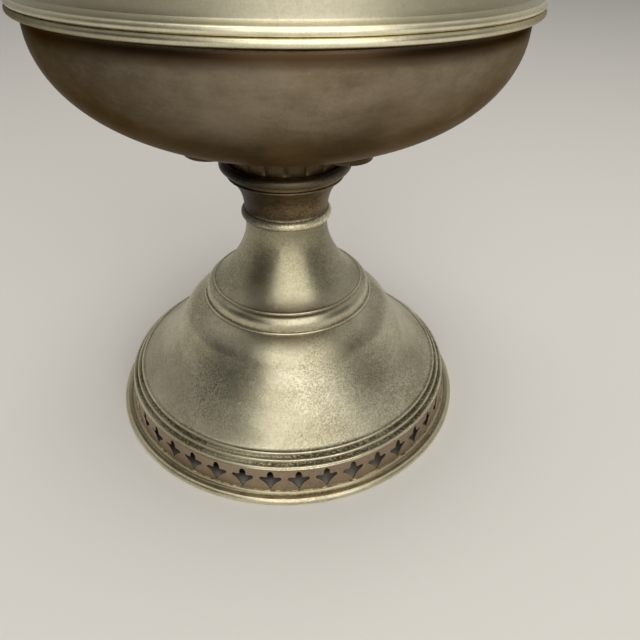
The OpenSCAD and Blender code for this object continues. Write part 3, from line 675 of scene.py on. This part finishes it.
bell_line = bezier(
    (bell_r, bell_z),
    (bell_r - 0.30 * bell_w, bell_z + 0.155 * bell_h),
    (shoulder_r + 0.467 * bell_w, bell_z + 0.423 * bell_h),
    (shoulder_r + 0.314 * bell_w, bell_z + 0.714 * bell_h),
    32,
) + bezier(
    (shoulder_r + 0.303 * bell_w, bell_z + 0.735 * bell_h),
    (shoulder_r + 0.249 * bell_w, bell_z + 0.84 * bell_h),
    (shoulder_r + 0.127 * bell_w, bell_z + 0.934 * bell_h),
    (shoulder_r, shoulder_z),
    20,
)
cone_line = bezier(
    (cone_r - 0.8, cone_z - 0.1),
    (cone_r - 9.2, cone_z + 5.3),
    (stem_r + 0.2, cone_z + 18.1),
    (stem_r, stem_top - 3),
    30,
) + [(stem_r, stem_top)]
step_line = bezier(
    (step_r - 1.15, shoulder_z + 1.8),
    (step_r - 1.2, shoulder_z + 4.3),
    (cone_r + 2.4, cone_z - 1.4),
    (cone_r + 0.4, cone_z - 0.9),
    14,
)
bell = [(band_r1, band_top)]
for i in range(cove_count + 1):
    crest = (band_r1 - 0.4 - i * bead_pitch_r, band_top + 1.0 + i * bead_pitch_z)
    bell += ridge(crest)
    if i < cove_count:
        corner = (crest[0] - 0.85 * bead_pitch_r, crest[1] + 0.05 * bead_pitch_z)
        cove_end = (crest[0] - bead_pitch_r - 0.05, crest[1] + bead_pitch_z - 0.7)
        bell += bezier((crest[0] - 0.75, crest[1] - 0.1), corner, corner, cove_end, 8)
bell += bell_line + ridge((step_r, shoulder_z + 0.9), 0.6) + [(step_r - 1.1, shoulder_z + 1.35)]
bell += step_line + ridge((cone_r, cone_z)) + cone_line
bell_inside = [(band_r1 - sheet, band_top)] + inset(bell_line, sheet) + [(cone_r - 0.9, shoulder_z + 0.6)]
bell_inside += inset(cone_line, sheet)
# Dark marks: dirt with painted shade in the two coves and at the foot of the bell; at the top of the cone,
# a painted shadow under the stem's ring.
bell_dirt_and_shade = [
    (band_r1 - 0.4 - (i + 0.6) * bead_pitch_r, band_top + 0.9 + (i + 0.4) * bead_pitch_z, 0.75, 0.6)
    for i in range(cove_count)
]
bell_dirt_and_shade += [(bell_r + 0.5, bell_z + 0.1, 0.6, 0.3), (stem_r, stem_top - 0.3, 0.7, 0.9)]
bell_outline = softened(bell + bell_inside[::-1], 0.15)
spun_bell = turned("spun_bell", bell_outline, 300, dirt_and_shade=bell_dirt_and_shade, creases=0.35)
dressed(spun_bell, foot_nickel, "lamp_body", "nickel", "foot_bell")

# Stem neck: a ring at its foot, a hollow flare with a thin bead, and a rolled
# collar that hides the lock nut under the font.
# The dark brown of the flare and the collar is a painted reflection of a brown table below; the metal is
# the same nickel as the ring at the foot.
reflected_brown_light = (0.21, 0.155, 0.085)
reflected_brown_dark = (0.075, 0.048, 0.024)
flare_edge = 0.1162
ring_edge = 0.0983
neck_zones = [
    (flare_edge, 0.0008, reflected_brown_light, reflected_brown_dark),
    (ring_edge, 0.0006, (0.80, 0.745, 0.545), (0.64, 0.59, 0.41)),
]
neck_plate = old_plate(
    "neck_plate", (0.135, 0.112, 0.074), (0.085, 0.068, 0.044), (0.03, 0.022, 0.012), 0.40, 1.0,
    zones=neck_zones, polish_and_highlight=1.2, west_shade=(stem_r * MM, 0.2),
)
ring_t = 4.6
ring_at = (20.0 - ring_t / 2, 95.8)
neck_z0 = 98.1
line_z = 113.0
line_r = stem_r + 6.2
collar_r, neck_low, collar_top = reach("stem_neck")
collar_roll = 2.2
collar_at = (collar_r - collar_roll, collar_top - collar_roll)
ledge_z = collar_top - 2.0
collar_in = collar_at[0] - collar_roll + 0.3
skirt_r = stem_r - sheet - 0.05
ledge_hole_r = 19.1
nut_room_r = 21.2
nut_top = ledge_z - 1.2
nut_low = ledge_z - 6.9
neck = [(skirt_r - 0.8, neck_low), (skirt_r, neck_low), (skirt_r, stem_top)]
neck += arc(ring_at, ring_t / 2, -78, 72, 24)
neck += bezier(
    (stem_r + 0.2, neck_z0 + 0.1),
    (stem_r + 0.3, neck_z0 + 7.0),
    (line_r - 3.6, line_z - 4),
    (line_r, line_z),
    22,
)
neck += ridge((line_r + 0.6, line_z + 0.5)) + [(line_r + 0.8, line_z + 1.1)]
neck += arc(collar_at, collar_roll, -98, 150, 26)
neck += [(collar_in, ledge_z), (ledge_hole_r, ledge_z), (ledge_hole_r, nut_top)]
neck += [(nut_room_r, nut_top), (nut_room_r, nut_low)]
neck += [(skirt_r - 0.1, neck_z0 + 5), (skirt_r - 0.8, neck_z0)]
# Dark marks where the flare and the skirt meet the ring: a crust with painted shade.
neck_dirt_and_shade = [(stem_r + 0.3, neck_z0 + 0.3, 0.7, 0.02), (stem_r + 0.2, stem_top + 0.2, 0.6, 0.6)]
spun_neck = turned("spun_neck", softened(neck, 0.12), dirt_and_shade=neck_dirt_and_shade, creases=0.35)
dressed(spun_neck, neck_plate, "lamp_body", "nickel", "stem_neck")

# Crown: a stamped ring of upright leaves between the collar and the font, with
# four rounded lobes that lie against the bowl.
floor_z = 131.0
floor_r = 38.0
crown_r = collar_in - 0.2
leaf_count = 18
leaf_groove = 0.7
leaf_foot = 0.6
crown_wall = [(crown_r, ledge_z)] + bezier(
    (crown_r, collar_top),
    (crown_r + 0.4, floor_z - 4),
    (crown_r + 4, floor_z - 0.8),
    (floor_r, floor_z),
    20,
)
crown_back = [p for p in inset(crown_wall, sheet) if ledge_z + sheet < p[1] < floor_z - 1.4]
crown = crown_wall + [(floor_r - 3, floor_z)] + crown_back[::-1]
crown += [(crown_r - sheet, ledge_z + sheet), (ledge_hole_r, ledge_z + sheet), (ledge_hole_r, ledge_z)]


def leaves(r, z, a):
    """Depth of the grooves between the leaves; each leaf is slightly rounded."""
    if r < crown_r - 0.4 or z < collar_top - leaf_foot:
        return 0
    part = abs(2 * (((a - 1.5 * math.pi) / (2 * math.pi) * leaf_count) % 1) - 1)
    fade = min(1, (z - collar_top + leaf_foot) / 0.8) * max(0, min(1, (floor_z - 0.6 - z) / 2))
    return -leaf_groove * part**3 * fade


crown_tone = old_plate(
    "crown_brass", (0.17, 0.120, 0.063), (0.115, 0.078, 0.04), (0.022, 0.015, 0.008), 0.42, 0.8, hollow_solidity=0.95
)
# Painted shade: a thin dark line in the gap where the leaves meet the collar.
crown_gap_shade = [(crown_r, collar_top - 1.1, 0.45, 0.8)]
leaf_crown = turned("leaf_crown", softened(crown, 0.15), 720, leaves, crown_gap_shade)
dressed(leaf_crown, crown_tone, "lamp_body", "worn_nickel", "crown_ring")

lobe_count = 4
lobe_steps = 64
lobe_at = 36.0
lobe_r = 10.0
lobe_low = floor_z - 2.0
lobe_turn = math.radians(39)
font_r = 87.3
bowl_top = 170.9
bowl_line = bezier(
    (floor_r, floor_z),
    (floor_r + 26, floor_z + 5),
    (font_r - 0.8, floor_z + 19.24),
    (font_r, bowl_top),
    60,
)


def bowl_height(r):
    """Height of the bowl's underside at radius r."""
    if r <= floor_r:
        return floor_z
    for (r0, z0), (r1, z1) in zip(bowl_line, bowl_line[1:]):
        if r <= r1:
            return z0 + (z1 - z0) * (r - r0) / (r1 - r0)
    return bowl_line[-1][1]


verts, faces, marks = [], [], []
edge_rise = 0.8
# Each ring gives its share of the lobe's radius, its rise and its mark for the hollow layer: the rounded
# edge is made lighter, partly a painted highlight, and the wall against the bowl is darkened with painted
# shade in the joint.
lobe_rings = [
    (0.05, 0.0, 0.0),
    (0.5, 0.0, 0.0),
    (0.88, 0.0, -0.1),
    (0.95, 0.15, -0.5),
    (0.99, 0.45, -0.8),
    (1.0, edge_rise, -0.3),
]
for share, rise, mark in lobe_rings + [(1.0, None, 0.7)]:
    for j in range(lobe_steps):
        a = 2 * math.pi * j / lobe_steps
        x, y = lobe_at + lobe_r * share * math.cos(a), lobe_r * share * math.sin(a)
        z = lobe_low + (edge_rise if rise is None else rise)
        if rise is None:
            z = max(z, bowl_height(math.hypot(x, y)) + 0.2)
        verts.append((x * MM, y * MM, z * MM))
        marks.append(mark)
for k in range(len(lobe_rings)):
    low = lobe_steps * k
    high = low + lobe_steps
    for j in range(lobe_steps):
        i = (j + 1) % lobe_steps
        faces.append((low + j, low + i, high + i, high + j))
faces.append(tuple(lobe_steps * len(lobe_rings) + j for j in range(lobe_steps)))
faces.append(tuple(reversed(range(lobe_steps))))
lobe_tone = old_plate(
    "lobe_brass", (0.078, 0.053, 0.029), (0.05, 0.034, 0.018), (0.03, 0.02, 0.01), 0.36, 0.5
)
lobe = repeated(made("crown_lobes", verts, faces, marks), lobe_count, lobe_tone, 0.001)
lobe.data.transform(Matrix.Rotation(lobe_turn, 4, "Z"))
dressed(lobe, lobe_tone, "lamp_body", "worn_nickel")

# Bowl of the font: the spun lower half, swelling out to the lower bead of the seam where the halves are
# soldered.
# The brown of its underside is partly tarnish and partly a painted reflection of a brown table below; its
# left side is painted darker (painted shade).
seam_out, seam_z, mouth_z = reach("font_shell")
bowl_out, _, _ = reach("font_bowl")
nipple_r = 16.15
seam_bead = 1.2
bowl_under = [(nipple_r, floor_z)] + bowl_line
bowl = bowl_under + [(font_r, seam_z - 5.1), (font_r - 0.4, seam_z - 3.3), (font_r + 0.9, seam_z - 2.5)]
bowl += arc((bowl_out - seam_bead, seam_z - seam_bead), seam_bead, -115, 85, 20)
bowl += [(font_r - sheet, seam_z)] + inset(bowl_under, sheet)[::-1]
# Brown tones below the seam: tarnish with a painted reflection of a brown table.
bowl_zones = [
    ((seam_z - 2.7) * MM, 0.0004, (0.30, 0.25, 0.18), (0.19, 0.148, 0.10)),
    (0.155, 0.012, (0.172, 0.127, 0.077), (0.115, 0.083, 0.049)),
    (0.142, 0.008, (0.30, 0.21, 0.135), (0.21, 0.146, 0.09)),
]
bowl_tone = old_plate(
    "bowl_tarnish_and_reflection", nickel_clean, nickel_dull, (0.045, 0.026, 0.013), 0.34, 0.3, (0.06, 0.036, 0.017),
    bowl_zones, grain=0.000012, pitted=0.1, polish_and_highlight=1.4, west_shade=(font_r * MM, 0.38),
)
bowl_shader = bowl_tone.node_tree.nodes["Principled BSDF"]
bowl_shader.inputs["Specular Tint"].default_value = (0.45, 0.40, 0.34, 1)
# Painted shadow: a dark brown band just under the seam bead.
bowl_bead_shadow = [(font_r, seam_z - 3.9 - 1.1 * i, 1.2, 0.62) for i in range(3)]
spun_bowl = turned("spun_bowl", softened(bowl, 0.12), 300, creases=0.3, stain_and_shadow=bowl_bead_shadow)
dressed(spun_bowl, bowl_tone, "lamp_body", "nickel", "font_bowl")

# Shell of the font: the upper half with its own seam bead, a short upright wall,
# a rounded shoulder, the hole of the filler and the mouth under the burner.
wall_r = font_r - 0.5
wall_top = 192.6
dome_h = mouth_z - wall_top
rim_r = 36.2
mouth_r = 31.6
dome_line = [(wall_r, seam_z + 3.4), (wall_r, wall_top)]
dome_line += bezier(
    (wall_r, wall_top + 0.5),
    (wall_r, wall_top + 0.46 * dome_h),
    (wall_r - 14, mouth_z - 0.22 * dome_h),
    (wall_r - 33, mouth_z - 0.12 * dome_h),
    40,
)
dome_line += [(rim_r + 2.6, mouth_z - 1.6), (rim_r, mouth_z - 0.2)]
shell = [(font_r - sheet, seam_z)]
shell += arc((seam_out - seam_bead, seam_z + seam_bead), seam_bead, -85, 115, 20)
shell += [(wall_r + 0.9, seam_z + 2.7)] + dome_line
shell += [(rim_r - 0.3, mouth_z), (mouth_r, mouth_z), (mouth_r, mouth_z - sheet)]
shell += inset(dome_line, sheet)[::-1]
# The shell is painted darker towards -X (painted shade), and its seam bead is rubbed lighter with a painted
# highlight.
font_nickel = old_plate(
    "font_nickel", (0.59, 0.555, 0.415), (0.46, 0.425, 0.30), nickel_grime_and_shade, 0.38, 0.2,
    grain=0.00001, pitted=0.15, polish_and_highlight=1.55, west_shade=(font_r * MM, 0.72),
)
spun_shell = turned("spun_shell", softened(shell, 0.12), 300, creases=0.08)
filler_lo, filler_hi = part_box("filler_neck")
filler_at = (filler_lo.x + filler_hi.x) / 2
punch_r = (filler_hi.y - filler_lo.y) / 2
punch_steps = 64
verts, faces = [], []
for z in (wall_top * MM, (mouth_z + 5) * MM):
    for j in range(punch_steps):
        a = 2 * math.pi * j / punch_steps
        verts.append((filler_at + punch_r * math.cos(a), punch_r * math.sin(a), z))
for j in range(punch_steps):
    k = (j + 1) % punch_steps
    faces.append((j, k, k + punch_steps, j + punch_steps))
faces += [tuple(reversed(range(punch_steps))), tuple(range(punch_steps, 2 * punch_steps))]
punch = made("filler_punch", verts, faces)
cut = spun_shell.modifiers.new("filler_hole", "BOOLEAN")
cut.operation = "DIFFERENCE"
cut.solver = "EXACT"
cut.object = punch
bpy.context.view_layer.update()
holed = bpy.data.meshes.new_from_object(spun_shell.evaluated_get(bpy.context.evaluated_depsgraph_get()))
spun_shell.modifiers.clear()
spun_shell.data = holed
bpy.data.objects.remove(punch)
dressed(spun_shell, font_nickel, "lamp_body", "nickel", "font_shell")

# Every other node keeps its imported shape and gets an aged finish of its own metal,
# cork, cotton or glass.
smooth = {"grain": 0.00001, "pitted": 0.3}
brass_tone = old_plate(
    "aged_brass", (0.62, 0.47, 0.22), (0.40, 0.28, 0.12), (0.07, 0.045, 0.02), 0.36, 0.25, **smooth
)
worn_tone = old_plate(
    "worn_plate", (0.52, 0.46, 0.34), (0.36, 0.30, 0.205), (0.07, 0.05, 0.03), 0.38, 0.3, **smooth
)
steel_tone = old_plate(
    "dark_sheet", (0.20, 0.19, 0.17), (0.12, 0.11, 0.095), (0.04, 0.03, 0.02), 0.5, 0.3, **smooth
)

tin = Finish("dull_tin")
tin.shader.inputs["Metallic"].default_value = 0.15
tin.shader.inputs["Roughness"].default_value = 0.7
# Painted shade: the plate seen through the clubs turns nearly black further inside the foot and towards the
# sides, where shade falls.
tin_painted_shade = (0.02, 0.019, 0.016)
tin_cloud = tin.span(tin.noise(60, 5, 0.65), 0.35, 0.65)
tin_tone = tin.mix(tin_cloud, (0.46, 0.44, 0.375), (0.33, 0.315, 0.265))
shade_edge_r = (band_r0 - 8.0) * MM
shade_reach = tin.math("ADD", tin.radius(), tin.math("MULTIPLY", tin.along("X"), 0.05))
side_shade = tin.span(tin.math("ABSOLUTE", tin.along("X"), 0), 0.032, 0.066, 1.0, 0.16)
tin_shaded = tin.scaled(tin_tone, side_shade)
tin.feed("Base Color", tin.mix(tin.span(shade_reach, shade_edge_r, shade_edge_r + 0.003), tin_painted_shade, tin_shaded))

cotton = Finish("woven_cotton")
cotton.shader.inputs["Roughness"].default_value = 0.95
cotton_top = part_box("wick")[1].z
fibre = cotton.span(cotton.noise(900, 3), 0.3, 0.7)
cream = cotton.mix(fibre, (0.55, 0.50, 0.38), (0.78, 0.73, 0.60))
char = cotton.span(cotton.along("Z"), cotton_top - 0.005, cotton_top - 0.001)
cotton.feed("Base Color", cotton.mix(char, cream, (0.03, 0.025, 0.02)))
cotton.bump(cotton.noise(900, 3), 0.0002)

cork = Finish("pressed_cork")
cork.shader.inputs["Roughness"].default_value = 0.9
cork_crumb = cork.span(cork.noise(700, 4), 0.4, 0.6)
cork.feed("Base Color", cork.mix(cork_crumb, (0.38, 0.24, 0.13), (0.58, 0.42, 0.26)))

glass = Finish("clear_glass")
glass.shader.inputs["Base Color"].default_value = (0.96, 0.98, 0.97, 1)
glass.shader.inputs["Roughness"].default_value = 0.02
glass.shader.inputs["Transmission Weight"].default_value = 1
glass.shader.inputs["IOR"].default_value = 1.47

finish_of = {
    "old_brass": brass_tone,
    "worn_nickel": worn_tone,
    "nickel": font_nickel,
    "dark_steel": steel_tone,
    "wick_cotton": cotton.material,
    "cork": cork.material,
    "chimney_glass": glass.material,
}
slot_of = {part["node"]: part["material_slot"] for part in frame["record"]["subparts"]}
for node, packed in frame["nodes"].items():
    packed.data.materials.clear()
    packed.data.materials.append(tin.material if node == "base_plate" else finish_of[slot_of[node]])

# Chimney: one gather of clear lead glass, blown to a low bulge over the flame and
# drawn to a straight tube, with its ends fire-polished round.
_, chimney_z0, chimney_top = reach("chimney")
glass_t = 2.0
foot_h = 13
foot_out = 33.35
top_out = 23.3
bulge = 58.0
glass_line = [(foot_out, chimney_z0), (foot_out, chimney_z0 + foot_h)]
glass_line += bezier(
    (foot_out, chimney_z0 + foot_h + 1),
    (foot_out + 3, chimney_z0 + 0.41 * bulge),
    (foot_out + 5.5, chimney_z0 + 0.69 * bulge),
    (foot_out - 2, chimney_z0 + bulge),
    30,
)
glass_line += bezier(
    (foot_out - 2.6, chimney_z0 + bulge + 1.5),
    (top_out + 3, chimney_z0 + 1.28 * bulge),
    (top_out + 1, chimney_z0 + 1.45 * bulge),
    (top_out + 0.6, chimney_z0 + 1.9 * bulge),
    26,
)
glass_line += [(top_out, chimney_top)]
glass_wall = softened(glass_line + inset(glass_line, glass_t)[::-1], 0.7, 5)
blown_chimney = turned("blown_chimney", glass_wall, 160)
dressed(blown_chimney, glass.material, "chimney", "chimney_glass", "chimney")
